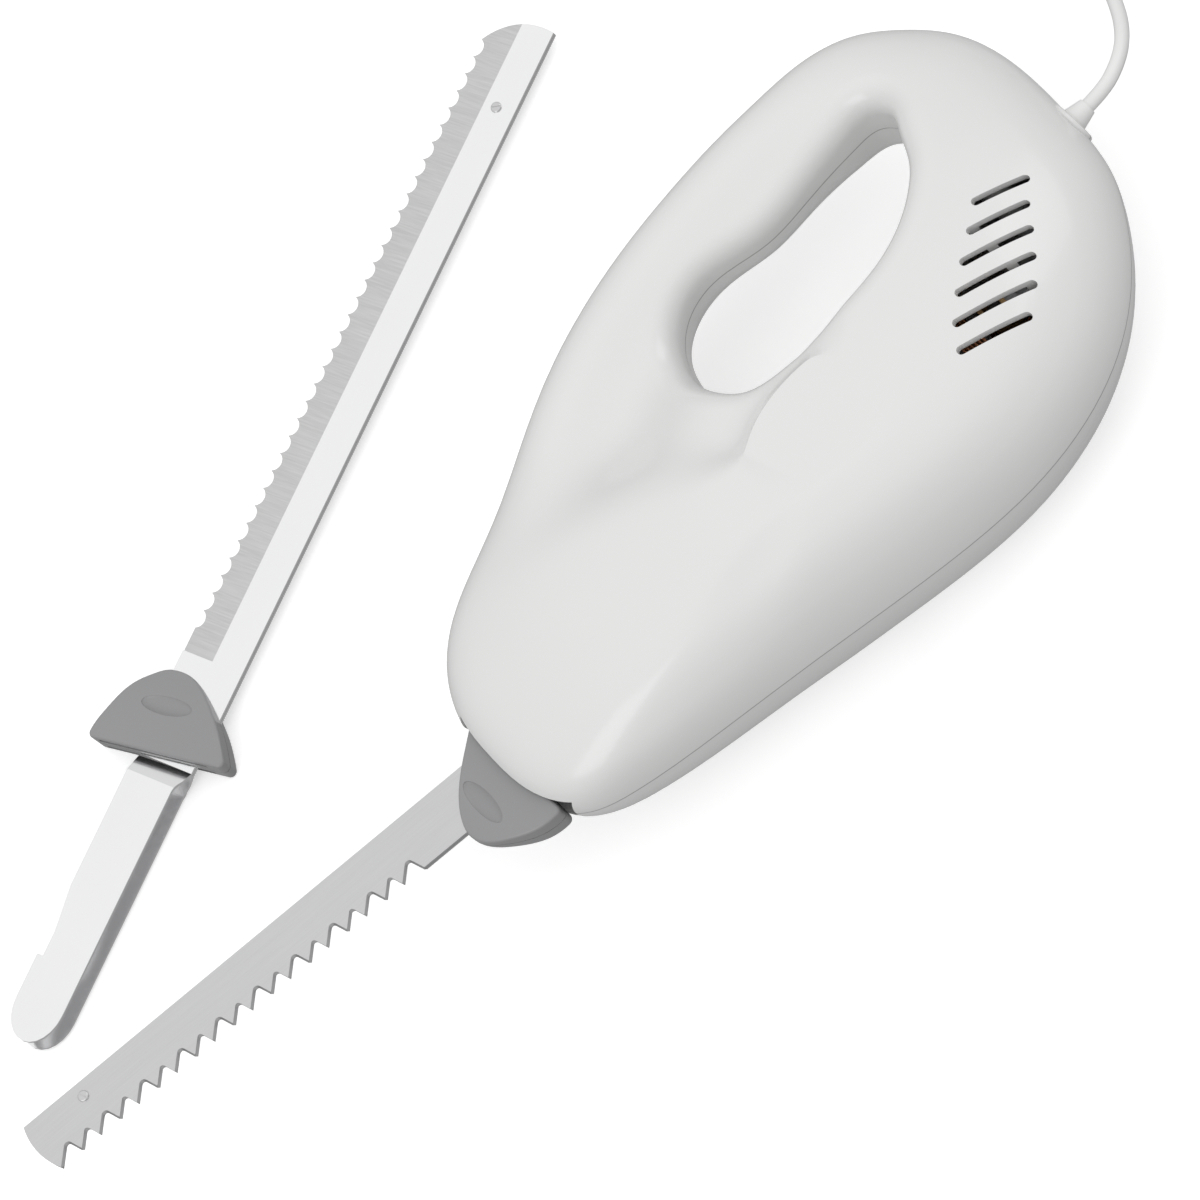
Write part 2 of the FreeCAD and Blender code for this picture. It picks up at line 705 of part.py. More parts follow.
# Gear frame: two plates with rails for the sliders, joined by a wall that holds the front bush
plate_low = "slider_out + clearance"
plate_high = "slider_out + clearance + plate_thick"
plate = block(
    "frame_plate", ("tang_end - 44", "wheel_x + 17"), ("drive_y - frame_half", "drive_y + frame_half"),
    (plate_low, plate_high))
rails = []
for name, low, high in (
    ("low_rail", "drive_y - slider_half - clearance - 2.2", "drive_y - slider_half - clearance"),
    ("high_rail", "drive_y + slider_half + clearance", "drive_y + slider_half + clearance + 2.2"),
):
    heights = ("slider_in + clearance", plate_low)
    rails.append(block(name, ("tang_end - 44", "wheel_x - 17.5"), (low, high), heights))
left_side = fuse("left_side", plate, *rails)
right_side = mirror("right_side", left_side)
wall_back = block(
    "frame_wall", ("wheel_x + 16.5", "wheel_x + 20.5"), (f"{motor_line} - 9", "drive_y + 8.5"),
    (f"-({plate_high})", plate_high))
axle_hole = rod("axle_hole", "z", "axle_radius", ("wheel_x", "drive_y", -20), 40)
bush_hole = rod("bush_hole", "x", "shaft_radius + 2", ("wheel_x + 10", motor_line, 0), 20)
frame_solid = fuse("frame_solid", left_side, right_side, wall_back)
node("gear_frame", cut("frame_whole", frame_solid, axle_hole, bush_hole))
axle_start = ("wheel_x", "drive_y", f"-({plate_high})")
node("gear_axle", rod("axle", "z", "axle_radius", axle_start, f"2 * ({plate_high})"))


def bush(name, start, length):
    sleeve = rod(name + "_sleeve", "x", "shaft_radius + 2", (start, motor_line, 0), length)
    bore = rod(name + "_bore", "x", "shaft_radius + running", (f"{start} - 1", motor_line, 0), f"{length} + 2")
    return cut(name + "_whole", sleeve, bore)


node("front_bush", bush("front_bush", "wheel_x + 16.5", "4"))


# Worm wheel with an eccentric on each face, and the worm that turns it
pitch_radius = dim.wheel_teeth * dim.tooth_module / 2
backlash = 0.36


def wheel_wire(level):
    # Teeth lean with the worm's thread; a gap stands over the worm at the middle of the face
    lean = level * dim.worm_starts * dim.tooth_module / 2 / dim.worm_radius / pitch_radius
    thick = math.pi * dim.tooth_module / 4 - backlash / 2
    slope = math.tan(math.radians(20))
    root = pitch_radius - 1.16 * dim.tooth_module
    tip = pitch_radius + 0.88 * dim.tooth_module
    corners = []
    for tooth in range(int(dim.wheel_teeth)):
        centre = math.radians(-90) + lean + (tooth + 0.5) * 2 * math.pi / dim.wheel_teeth
        for radius, side in ((root, -1), (tip, -1), (tip, 1), (root, 1)):
            half = (thick - (radius - pitch_radius) * slope) / pitch_radius
            angle = centre + side * half
            x = dim.wheel_x + radius * math.cos(angle)
            corners.append(V(x, dim.drive_y + radius * math.sin(angle), level))
    return Part.makePolygon(corners + corners[:1])


wheel_rim = Part.makeLoft([wheel_wire(-dim.wheel_half), wheel_wire(dim.wheel_half)], True, True)
wheel_bore = rod("wheel_bore", "z", "axle_radius + running", ("wheel_x", "drive_y", -20), 40)
node("worm_wheel", cut("wheel_whole", made("wheel_rim", wheel_rim), wheel_bore))
# Each eccentric stands off the wheel on a hub, so that the end of a tang passes under it
hub_low, disc_low, disc_high = "wheel_half", "tang_gap + blade_thick + 0.4", "slider_out - 0.4"
for side, lift in (("left", "stroke"), ("right", "-stroke")):
    hub_start, disc_start = (hub_low, disc_low) if side == "left" else (f"-({disc_low})", f"-({disc_high})")
    hub_height = f"{disc_low} - {hub_low}"
    hub = rod(side + "_hub", "z", "axle_radius + 1.5", ("wheel_x", "drive_y", hub_start), hub_height)
    disc = rod(
        side + "_disc", "z", "cam_radius", ("wheel_x", f"drive_y + {lift}", disc_start),
        f"{disc_high} - ({disc_low})")
    bore = rod(side + "_disc_bore", "z", "axle_radius + running", ("wheel_x", "drive_y", -20), 40)
    node(side + "_eccentric", cut(side + "_disc_whole", fuse(side + "_cam", hub, disc), bore))


def worm_solid():
    # Root cylinder and two threads, drawn about Z and laid along X, bored for the shaft
    lead = math.pi * dim.tooth_module * dim.worm_starts
    root = dim.worm_radius - 1.04 * dim.tooth_module
    tip = dim.worm_radius + 0.88 * dim.tooth_module
    thick = math.pi * dim.tooth_module / 4 - backlash / 2
    slope = math.tan(math.radians(20))
    spare = lead
    length = dim.worm_length + 2 * spare
    whole = Part.makeCylinder(root, dim.worm_length)
    deep = root - 0.3
    phase = (dim.worm_length / 2 + spare) % lead
    for thread in range(int(dim.worm_starts)):
        helix = Part.makeHelix(lead, length, dim.worm_radius)
        half_deep = thick + (dim.worm_radius - deep) * slope
        half_tip = thick - (tip - dim.worm_radius) * slope
        profile = Part.makePolygon([V(deep, 0, -half_deep), V(tip, 0, -half_tip), V(tip, 0, half_tip),
                                    V(deep, 0, half_deep), V(deep, 0, -half_deep)])
        ridge = Part.Wire(helix).makePipeShell([profile], True, True)
        ridge.translate(V(0, 0, -spare))
        ridge.rotate(V(), V(0, 0, 1), 360 * (thread / dim.worm_starts - phase / lead))
        whole = whole.fuse(ridge.common(Part.makeCylinder(2 * tip, dim.worm_length)))
    whole = whole.cut(Part.makeCylinder(dim.shaft_radius, dim.worm_length))
    whole.rotate(V(), V(1, 0, 0), -90)
    whole.rotate(V(), V(0, 0, 1), -90)
    whole.translate(V(dim.wheel_x - dim.worm_length / 2, motor_y, 0))
    return whole


node("worm", made("worm_shape", worm_solid()))


# Sliders: each carries a tang in a channel, and a fork open at the bottom that an eccentric pushes to and fro
def slider_parts():
    low, high = "slider_in", "slider_out"
    window = "cam_radius + cam_slack"
    under = f"{motor_line} + worm_radius + tooth_module + 1.5"
    top = "drive_y + cam_radius + stroke + 0.4"
    body = block("slider_body", ("tang_end - 48", f"wheel_x - ({window})"),
                 ("drive_y - slider_half", "drive_y + slider_half"), (low, high))
    prong = 4.0
    fork_front, fork_back = f"wheel_x - ({window}) - {prong}", f"wheel_x + {window} + {prong}"
    tall = (under, f"{top} + 3.5")
    front = block("front_prong", (fork_front, f"{fork_front} + {prong}"), tall, (low, high))
    rear = block("rear_prong", (f"{fork_back} - {prong}", fork_back), tall, (low, high))
    bar = block("fork_bar", (fork_front, fork_back), (top, f"{top} + 3.5"), (low, high))
    half = "tang_width / 2 + 0.2"
    lip_heights = ("tang_gap - seat", low)
    over = (f"drive_y + {half}", "drive_y + slider_half")
    below = ("drive_y - slider_half", f"drive_y - ({half})")
    upper_lip = block("upper_lip", ("tang_end - 48", "tang_end - 6"), over, lip_heights)
    lower_lip = block("lower_lip", ("tang_end - 22", "tang_end - 6"), below, lip_heights)
    strap = block("strap", ("tang_end - 46", "tang_end - 40"), ("drive_y - 2.5", "drive_y + slider_half"),
                  ("tang_gap - seat - 1.3", "tang_gap - seat"))
    return body, front, rear, bar, upper_lip, lower_lip, strap


left_carrier = fuse("left_carrier", *slider_parts())
node("left_slider", left_carrier)
node("right_slider", mirror("right_carrier", left_carrier))

# Latches: a leaf on each slider with a tooth in the tang's notch
notch_x = "(tang_end - notch_back)"
leaf_low = "drive_y - slider_half - 1.9"
leaf_front = "tang_end - 46"
leaf_run = (leaf_front, f"{notch_x} + 4")
leaf = block("leaf", leaf_run, (leaf_low, f"{leaf_low} + 1"), ("tang_gap", "slider_in - 0.1"))
foot_run = (leaf_front, f"{leaf_front} + 5")
foot = block("leaf_foot", foot_run, (leaf_low, f"{leaf_low} + 4"), ("tang_gap", "slider_in"))
tooth_top = "drive_y - tang_width / 2 + notch_depth - clearance"
tooth = block(
    "leaf_tooth", (f"{notch_x} - 1.6", f"{notch_x} + 1.6"), (leaf_low, tooth_top),
    ("tang_gap", "tang_gap + blade_thick"))
left_leaf = fuse("left_leaf", leaf, foot, tooth)
node("left_latch", left_leaf)
node("right_latch", mirror("right_leaf", left_leaf))


# Motor
core_back = "(core_x + core_length)"
node("motor_shaft", rod("shaft", "x", "shaft_radius", ("wheel_x - worm_length / 2 - 2", motor_line, 0),
                        f"{core_back} + 32 - wheel_x + worm_length / 2 + 2"))
armature = doc.addObject("PartDesign::Body", "armature")


def sketch_on(body, role, name):
    sketch = body.newObject("Sketcher::SketchObject", name)
    plane = next(feature for feature in body.Origin.OriginFeatures if feature.Role == role)
    sketch.AttachmentSupport = [(plane, "")]
    sketch.MapMode = "FlatFace"
    return sketch


def ring_sketch(sketch, radii):
    # Circles about the sketch's origin, their radii bound to the sheet
    for radius in radii:
        index = sketch.addGeometry(Part.Circle(V(), V(0, 0, 1), 10), False)
        sketch.addConstraint(Sketcher.Constraint("Coincident", index, 3, -1, 1))
        number = sketch.addConstraint(Sketcher.Constraint("Radius", index, 10))
        bind(sketch, f"Constraints[{number}]", radius)


core_sketch = sketch_on(armature, "YZ_Plane", "core_sketch")
ring_sketch(core_sketch, ("bore_radius - air_gap", "shaft_radius"))
core_pad = armature.newObject("PartDesign::Pad", "core_pad")
core_pad.Profile = core_sketch
bind(core_pad, "Length", "core_length")
slot_sketch = sketch_on(armature, "YZ_Plane", "slot_sketch")
ring_sketch(slot_sketch, ("1.1",))
bind(slot_sketch, "AttachmentOffset.Base.x", "bore_radius - air_gap - 2.5")
doc.recompute()
slot_pocket = armature.newObject("PartDesign::Pocket", "slot_pocket")
slot_pocket.Profile = slot_sketch
slot_pocket.Reversed = True
bind(slot_pocket, "Length", "core_length")
slot_pattern = armature.newObject("PartDesign::PolarPattern", "slot_pattern")
slot_pattern.Originals = [slot_pocket]
slot_pattern.Axis = (core_sketch, ["N_Axis"])
slot_pattern.Angle = 360
slot_pattern.Occurrences = 12
armature.Tip = slot_pattern
place(armature, ("core_x", motor_line, 0))
node("armature_core", armature)


def sleeve(name, outer, start, length):
    tube = rod(name + "_tube", "x", outer, (start, motor_line, 0), length)
    bore = rod(name + "_bore", "x", "shaft_radius", (f"{start} - 1", motor_line, 0), f"{length} + 2")
    return cut(name, tube, bore)


front_turns = sleeve("front_turns", "bore_radius - 2.5", "core_x - coil_head + 0.5", "coil_head - 0.5")
rear_turns = sleeve("rear_turns", "bore_radius - 2.5", core_back, "coil_head - 0.5")
node("armature_windings", front_turns, rear_turns)
node("commutator", sleeve("commutator_drum", "commutator_radius", f"{core_back} + 9", "11"))
fan_hub = sleeve("fan_hub", "6", "core_x - fan_front", "5")
fan_disc = sleeve("fan_disc", "fan_radius", "core_x - fan_front", "1.4")
vanes = []
vane_count = 8
vane_in, vane_half = 5, 0.6
for count in range(vane_count):
    vane = block(
        f"vane_{count}", ("core_x - fan_front", "core_x - fan_front + 5"), (vane_in, "fan_radius - 0.2"),
        (-vane_half, vane_half))
    turn = FreeCAD.Rotation(V(1, 0, 0), 360 / vane_count * count)
    vane.Placement = FreeCAD.Placement(V(), turn)
    radial = turn.multVec(V(0, vane_in, -vane_half))
    bind(vane, "Placement.Base.y", f"{motor_line} + {radial.y:.4f}")
    bind(vane, "Placement.Base.z", f"{radial.z:.4f}")
    vanes.append(vane)
node("cooling_fan", fuse("fan_whole", fan_hub, fan_disc, *vanes))

stack = rod("stack", "x", "core_radius", ("core_x", motor_line, 0), "core_length")
stack_bore = rod("stack_bore", "x", "bore_radius", ("core_x - 1", motor_line, 0), "core_length + 2")
winding_slots = []
coils = []


def span(side, low, high):
    # Heights on the left side of the parting plane, or the same ones on the right side
    return (low, high) if side == "left" else (f"-({high})", f"-({low})")


def around(half):
    return (f"{motor_line} - ({half})", f"{motor_line} + {half}")


def behind(start, end):
    return (f"{core_back} + {start}", f"{core_back} + {end}")


for side in ("left", "right"):
    low, high = span(side, "coil_in", "coil_out")
    coil_run = ("core_x - coil_head", f"{core_back} + coil_head")
    coil_out = block(side + "_coil_out", coil_run, around("coil_half"), (low, high))
    window_run = ("core_x - seat", f"{core_back} + seat")
    coil_in = block(side + "_coil_in", window_run, around("coil_window"), (f"{low} - 1", f"{high} + 1"))
    coils.append(cut(side + "_coil", coil_out, coil_in))
    slot_run = ("core_x - 1", f"{core_back} + 1")
    slot_heights = (f"{low} - seat", f"{high} + seat")
    lower = (f"{motor_line} - coil_half - seat", f"{motor_line} - coil_window + seat")
    upper = (f"{motor_line} + coil_window - seat", f"{motor_line} + coil_half + seat")
    winding_slots.append(block(side + "_lower_slot", slot_run, lower, slot_heights))
    winding_slots.append(block(side + "_upper_slot", slot_run, upper, slot_heights))
node("stator_core", cut("stack_whole", stack, stack_bore, *winding_slots))
node("field_coils", *coils)

bracket_low = f"{core_back} + bracket_back"
bracket_plate = rod("bracket_plate", "x", "bracket_radius", (bracket_low, motor_line, 0), "rib")
bracket_bore = rod("bracket_bore", "x", "shaft_radius + 2", (f"{bracket_low} - 1", motor_line, 0), "rib + 2")
arms = []
holders = []
brushes = []
for side in ("left", "right"):
    hold_low, hold_high = span(side, "holder_in", "holder_out")
    holder_run = behind("brush_front - holder_wall", "brush_back + holder_wall")
    shell = block(side + "_holder", holder_run, around("brush_half + holder_wall"), (hold_low, hold_high))
    bore = block(
        side + "_holder_bore", behind("brush_front - seat", "brush_back + seat"), around("brush_half + seat"),
        (f"{hold_low} - 1", f"{hold_high} + 1"))
    holders.append(cut(side + "_holder_whole", shell, bore))
    brush_heights = span(side, "commutator_radius + seat", "brush_out")
    brush_run = behind("brush_front", "brush_back")
    brushes.append(block(side + "_brush", brush_run, around("brush_half"), brush_heights))
    arm_run = behind("brush_back + holder_wall", "bracket_back + 1")
    arms.append(block(side + "_arm", arm_run, around("brush_half + 1"), span(side, "arm_in", "arm_out")))
node("rear_bracket", cut("bracket_whole", fuse("bracket_solid", bracket_plate, *arms), bracket_bore))
node("rear_bush", bush("rear_bush", bracket_low, "8"))
node("brush_holders", *holders)
node("carbon_brushes", *brushes)


# Buttons: flush with the ridge, each on a spring
def spring_solid(base, length, turns_count):
    run = length - 2 * dim.spring_wire
    helix = Part.makeHelix(run / turns_count, run, dim.spring_radius)
    section = Part.Wire(Part.makeCircle(dim.spring_wire, V(dim.spring_radius, 0, 0), V(0, 1, 0)))
    spring = Part.Wire(helix).makePipeShell([section], True, True)
    spring.rotate(V(), V(1, 0, 0), -90)
    spring.translate(base + V(0, dim.spring_wire, 0))
    return spring


skin_whole = outer_half.fuse(outer_half.mirror(V(), V(0, 0, 1)))


def button_cap(middle_x, half, side, base):
    return skin_whole.common(box((middle_x - half, middle_x + half), (base, dim.body_length), (-side, side)))


switch_top = dim.switch_base + dim.switch_height
cap_base = switch_top + 6.5
power_cap = button_cap(dim.button_x, dim.button_half, dim.button_side, cap_base)
pin_out = 0.6
stem_low = switch_top + pin_out + dim.press_travel + dim.seat
power_stem = Part.makeCylinder(1.5, cap_base + 1 - stem_low, V(dim.button_x - 5, stem_low, 0), V(0, 1, 0))
node("power_button", made("power_cap", power_cap.fuse(power_stem)))
switch_run = ("button_x - button_half", "button_x + button_half")
switch_body = block("switch_body", switch_run, ("switch_base", "switch_base + switch_height"), (-5, 5))
switch_pin = rod("switch_pin", "y", "1.5", ("button_x - 5", "switch_base + switch_height - 1", 0), pin_out + 1)
node("micro_switch", fuse("switch_whole", switch_body, switch_pin))
power_base = V(dim.button_x + 4, switch_top + dim.seat, 0)
node("power_spring", made("power_coil", spring_solid(power_base, cap_base - switch_top - 2 * dim.seat, 3)))

release_cap = button_cap(press_x, dim.release_half, dim.release_side, release_base)
foot_low = dim.drive_y - dim.slider_half - 0.5
stem_half = 1.6
stem = box((press_x - stem_half, press_x + stem_half), (foot_low, release_base + 1), (-1.1, 1.1))
foot_bar = box((press_x - stem_half, press_x + stem_half), (foot_low, foot_low + 2.2), (-4.2, 4.2))
node("release_button", made("release_cap", release_cap.fuse([stem, foot_bar])))
release_seat = V(press_x + 6.2, shelf_y + dim.rib + dim.seat, 0)
release_room = release_base - shelf_y - dim.rib - 2 * dim.seat
node("release_spring", made("release_coil", spring_solid(release_seat, release_room, 5)))


# Cords: straight runs joined by tangent arcs that are as large as the runs allow
def cord_wire(points):
    edges = []
    radii = []
    start = points[0]
    for before, corner, after in zip(points, points[1:], points[2:]):
        come = (corner - before).normalize()
        leave = (after - corner).normalize()
        turn = come.getAngle(leave)
        shorter = min((corner - before).Length, (after - corner).Length)
        trim = 0.45 * shorter
        radius = trim / math.tan(turn / 2)
        radii.append(round(radius, 1))
        first = corner - come * trim
        last = corner + leave * trim
        inside = (leave - come).normalize()
        top = corner + inside * (radius / math.cos(turn / 2) - radius)
        edges.append(Part.makeLine(start, first))
        edges.append(Part.Arc(first, top, last).toShape())
        start = last
    edges.append(Part.makeLine(start, points[-1]))
    return Part.Wire(edges), radii


def tube(name, wire, radius, radii):
    first = wire.Edges[0]
    start, along = first.valueAt(first.FirstParameter), first.tangentAt(first.FirstParameter)
    section = Part.Wire(Part.makeCircle(radius, start, along))
    solid = wire.makePipeShell([section], True, False)
    share = solid.Volume / (math.pi * radius ** 2 * wire.Length)
    print(name, "length", round(wire.Length, 1), "volume share", round(share, 4), "radii", radii)
    return made(name + "_tube", solid)


exit_x = dim.body_length
relief_end = exit_x + dim.relief_out
relief_start = exit_x - 15.6
inner_sleeve = rod("relief_sleeve", "x", "3.2", ("body_length - 15.6", "exit_y", 0), "12")
inner_flange = rod("relief_flange", "x", "5.5", ("body_length - 6.6", "exit_y", 0), "2.2")
neck = rod("relief_neck", "x", "4", ("body_length - 5", "exit_y", 0), "5.4")
taper_radii = ("4", "cord_radius + 0.5")
taper = cone("relief_taper", "x", taper_radii, ("body_length + 0.4", "exit_y", 0), "relief_out - 0.4")
node("cord_bushing", fuse("relief_whole", inner_sleeve, inner_flange, neck, taper))

lay = floor + dim.tie_thick + 0.1 + dim.cord_radius
heading = V(0.5, math.sqrt(0.75), 0)
lead_points = [
    V(relief_end, dim.exit_y, 0), V(256.2, dim.exit_y, 0), V(262.9, 14.6, -0.9), V(268.9, 19.2, -2.9),
    V(273.9, 26.6, -6.5), V(278.1, 37.4, -12), V(282.2, 51.5, -19), V(287.2, 67.6, -26.6), V(294, 85.5, lay),
]
lead_end = lead_points[-1] + heading * 12
cord_path, cord_radii = cord_wire(lead_points + [lead_end])
node("mains_cord", tube("mains_cord", cord_path, dim.cord_radius, cord_radii))


def coil_edges(entry):
    # Half turns spiral in along the bottom layer, climb in the half turn where the spiral reverses, and
    # spiral out again on top; the ends run straight for a diameter
    stub = 2 * dim.cord_radius
    ex = V(-heading.y, heading.x, 0)
    centre = entry - ex * dim.coil_radius
    half_pitch = dim.cord_pitch / 2

    def at(x, y, lift):
        return centre + ex * x + heading * y + V(0, 0, lift)

    def half_turn(x, way, radius, lift):
        # The arc over a half turn, and where it ends
        centre_x = x - way * radius
        end_x = centre_x - way * radius
        arc = Part.Arc(at(x, 0, lift), at(centre_x, way * radius, lift), at(end_x, 0, lift))
        return arc.toShape(), end_x

    edges = [Part.makeLine(entry - heading * stub, entry)]
    x, way = dim.coil_radius, 1
    radii = [dim.coil_radius - half_pitch * step for step in range(7)]
    for radius in radii:
        arc, x = half_turn(x, way, radius, 0)
        edges.append(arc)
        way = -way
    radius = radii[-1] - half_pitch
    begin, finish = at(x, 0, 0), at(x - 2 * way * radius, 0, dim.cord_pitch)
    reach = (finish - begin).Length / 2
    middle_point = (begin + finish) * 0.5 + heading * (way * reach)
    for start, tangent, stop in ((begin, heading * way, middle_point), (finish, heading * way, middle_point)):
        chord = stop - start
        along = chord * (1 / chord.Length)
        bend = tangent.getAngle(along)
        side = (tangent - along * tangent.dot(along)).normalize()
        top = (start + stop) * 0.5 + side * (chord.Length / 2 * math.tan(bend / 2))
        ends = (start, top, stop) if start is begin else (stop, top, start)
        edges.append(Part.Arc(*ends).toShape())
    x, way = x - 2 * way * radius, -way
    for step in range(6):
        radius += half_pitch
        arc, x = half_turn(x, way, radius, dim.cord_pitch)
        edges.append(arc)
        way = -way
    last = at(x, 0, dim.cord_pitch)
    edges.append(Part.makeLine(last, last + heading * stub))
    return edges, at, last + heading * stub


def least_gap(wire, radius):
    points = wire.discretize(Distance=1.2)
    least = 1e9
    apart = int(6 * radius / 1.2) + 4
    for i, point in enumerate(points):
        for other in points[i + apart:]:
            least = min(least, point.distanceToPoint(other))
    return least - 2 * radius


wound, coil_at, coil_end = coil_edges(lead_end + heading * (2 * dim.cord_radius))
coil_path = Part.Wire(wound)
print("coil least gap", round(least_gap(coil_path, dim.cord_radius), 3))
node("cord_coil", tube("cord_coil", coil_path, dim.cord_radius, "half turns"))
tail_end = coil_end + heading * 20
tail_path = Part.Wire([Part.makeLine(coil_end, tail_end)])
node("cord_tail", tube("cord_tail", tail_path, dim.cord_radius, "straight"))


def turned_box(xs, ys, zs):
    # A box in the coil's own directions, its heights measured from the surface below
    corners = [coil_at(x, y, 0) for x, y in ((xs[0], ys[0]), (xs[1], ys[0]), (xs[1], ys[1]), (xs[0], ys[1]))]
    corners = [V(p.x, p.y, floor + zs[0]) for p in corners]
    return Part.Face(Part.makePolygon(corners + corners[:1])).extrude(V(0, 0, zs[1] - zs[0]))


tie_half = 4.0
tie_x = -dim.cord_pitch / 2
bundle_in = dim.coil_radius - 3 * dim.cord_pitch - dim.cord_radius - 2.0
bundle_out = dim.coil_radius + dim.cord_radius + 0.3
bundle_top = dim.tie_thick + 0.2 + 2 * dim.cord_radius + dim.cord_pitch
strip = dim.tie_thick
tie_run = (tie_x - tie_half, tie_x + tie_half)
tie_outer = turned_box(tie_run, (bundle_in - strip, bundle_out + strip), (0, bundle_top + strip))
hollow_run = (tie_x - 2 * tie_half, tie_x + 2 * tie_half)
tie_inner = turned_box(hollow_run, (bundle_in, bundle_out), (strip, bundle_top))
node("cord_tie", made("tie_shape", tie_outer.cut(tie_inner)))


# Plug: a flat two-pin plug that lies beside the coil
plug_half = lay + dim.cord_pitch - floor
ahead = coil_at(0, 1, 0) - coil_at(0, 0, 0)
across = coil_at(1, 0, 0) - coil_at(0, 0, 0)
nose_length = 16.0
nose_end = tail_end + ahead * nose_length
nose = Part.makeCone(dim.cord_radius + 0.6, 4.6, nose_length + 1, tail_end, ahead)
wide = dim.plug_width / 2
plug_outline = []
for side, reach in ((-6.5, 0), (6.5, 0), (wide, 0.6), (wide, 1.0), (-wide, 1.0), (-wide, 0.6)):
    corner = nose_end + across * side + ahead * (reach * dim.plug_length)
    plug_outline.append(V(corner.x, corner.y, floor))
plug_block = Part.Face(Part.makePolygon(plug_outline + plug_outline[:1])).extrude(V(0, 0, 2 * plug_half))
corners = [edge for edge in plug_block.Edges if abs(edge.tangentAt(edge.FirstParameter).z) > 0.9]
plug_block = plug_block.makeFillet(2.0, corners)
brims = [edge for edge in plug_block.Edges if edge.BoundBox.ZMax - edge.BoundBox.ZMin < 0.01]
plug_block = plug_block.makeFillet(1.2, brims)
node("plug_body", made("plug_shape", plug_block.fuse(nose)))
plug_face = nose_end + ahead * dim.plug_length
pins = []
for side in (-1, 1):
    root = plug_face + across * (side * dim.pin_spacing / 2)
    pin = Part.makeCylinder(dim.pin_radius, dim.pin_length, root, ahead)
    rim = [e for e in pin.Edges if abs((e.CenterOfMass - root).dot(ahead) - dim.pin_length) < 0.01]
    pins.append(pin.makeChamfer(0.8, rim))
node("plug_pins", made("pins_shape", Part.makeCompound(pins)))


# Terminal block and the leads inside the housing
terminal = doc.addObject("PartDesign::Body", "terminal")
terminal_sketch = sketch_on(terminal, "XY_Plane", "terminal_sketch")


def rectangle(sketch, low, high):
    corners = [V(low[0], low[1], 0), V(high[0], low[1], 0), V(high[0], high[1], 0), V(low[0], high[1], 0)]
    for index in range(4):
        sketch.addGeometry(Part.LineSegment(corners[index], corners[(index + 1) % 4]), False)
    for index in range(4):
        sketch.addConstraint(Sketcher.Constraint("Coincident", index, 2, (index + 1) % 4, 1))


rectangle(terminal_sketch, (220, 41), (232, 51))
terminal_pad = terminal.newObject("PartDesign::Pad", "terminal_pad")
terminal_pad.Profile = terminal_sketch
terminal_pad.Length = 12
terminal_pad.SideType = "Symmetric"
node("terminal_block", terminal)
inner_points = [
    V(relief_start, dim.exit_y, 0), V(224.3, dim.exit_y, 0), V(221.3, 14.8, 0), V(220.6, 20, 0),
    V(222.5, 26.5, 0), V(226, 32.5, 0), V(226, 41, 0),
]
inner_path, inner_radii = cord_wire(inner_points)
node("inner_lead", tube("inner_lead", inner_path, dim.lead_radius, inner_radii))
switch_side = dim.switch_base + 3.5
switch_points = [
    V(226, 51, 0), V(226, 57, 0), V(219, 63.5, 0), V(213.5, 71, 0), V(204, 77, 0), V(188, 78, 0),
    V(172, 75.5, 0), V(161, 70.5, 0), V(154, switch_side, 0), V(dim.button_x + dim.button_half, switch_side, 0),
]
switch_path, switch_radii = cord_wire(switch_points)
node("switch_lead", tube("switch_lead", switch_path, dim.lead_radius, switch_radii))

doc.recompute()

# The origin is under the middle of the set, without its cord
cord_names = {"mains_cord", "cord_coil", "cord_tail", "cord_tie", "plug_body", "plug_pins"}
reach = FreeCAD.BoundBox()
for label, item in nodes.items():
    if label not in cord_names:
        reach.add(item.Shape.BoundBox)
shift = V(-reach.Center.x, -reach.Center.y, -floor)
for item in nodes.values():
    item.Placement = FreeCAD.Placement(shift, FreeCAD.Rotation())
doc.recompute()

for item in doc.Objects:
    if "Invalid" in item.State or "Error" in item.State:
        raise RuntimeError(f"{item.Label} failed")
for label, item in nodes.items():
    if item.Shape.isNull() or not item.Shape.isValid() or not item.Shape.Solids:
        raise RuntimeError(f"{label} has no valid solid")

os.makedirs("parts", exist_ok=True)
for label, item in nodes.items():
    item.Shape.exportStep(f"parts/{label}.step")
print("shift", shift, "nodes", len(nodes))
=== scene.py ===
import json
import math

import bmesh
import bpy
from mathutils import Matrix, Vector


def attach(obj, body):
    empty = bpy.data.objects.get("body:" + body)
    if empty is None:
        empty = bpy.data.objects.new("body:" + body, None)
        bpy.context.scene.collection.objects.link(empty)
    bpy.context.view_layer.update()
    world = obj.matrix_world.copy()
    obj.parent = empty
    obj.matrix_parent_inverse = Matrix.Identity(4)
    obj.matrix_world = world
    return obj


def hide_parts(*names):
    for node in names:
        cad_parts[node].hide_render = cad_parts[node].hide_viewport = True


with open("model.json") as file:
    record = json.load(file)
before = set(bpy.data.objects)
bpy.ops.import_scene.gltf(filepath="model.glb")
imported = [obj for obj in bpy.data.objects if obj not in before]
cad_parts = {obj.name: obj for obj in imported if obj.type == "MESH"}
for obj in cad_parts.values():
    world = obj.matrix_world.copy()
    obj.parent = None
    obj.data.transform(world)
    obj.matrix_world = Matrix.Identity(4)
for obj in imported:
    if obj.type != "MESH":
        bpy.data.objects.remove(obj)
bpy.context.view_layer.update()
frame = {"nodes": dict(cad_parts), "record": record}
scene = bpy.context.scene
print("frame loaded:", len(frame["nodes"]), "nodes")

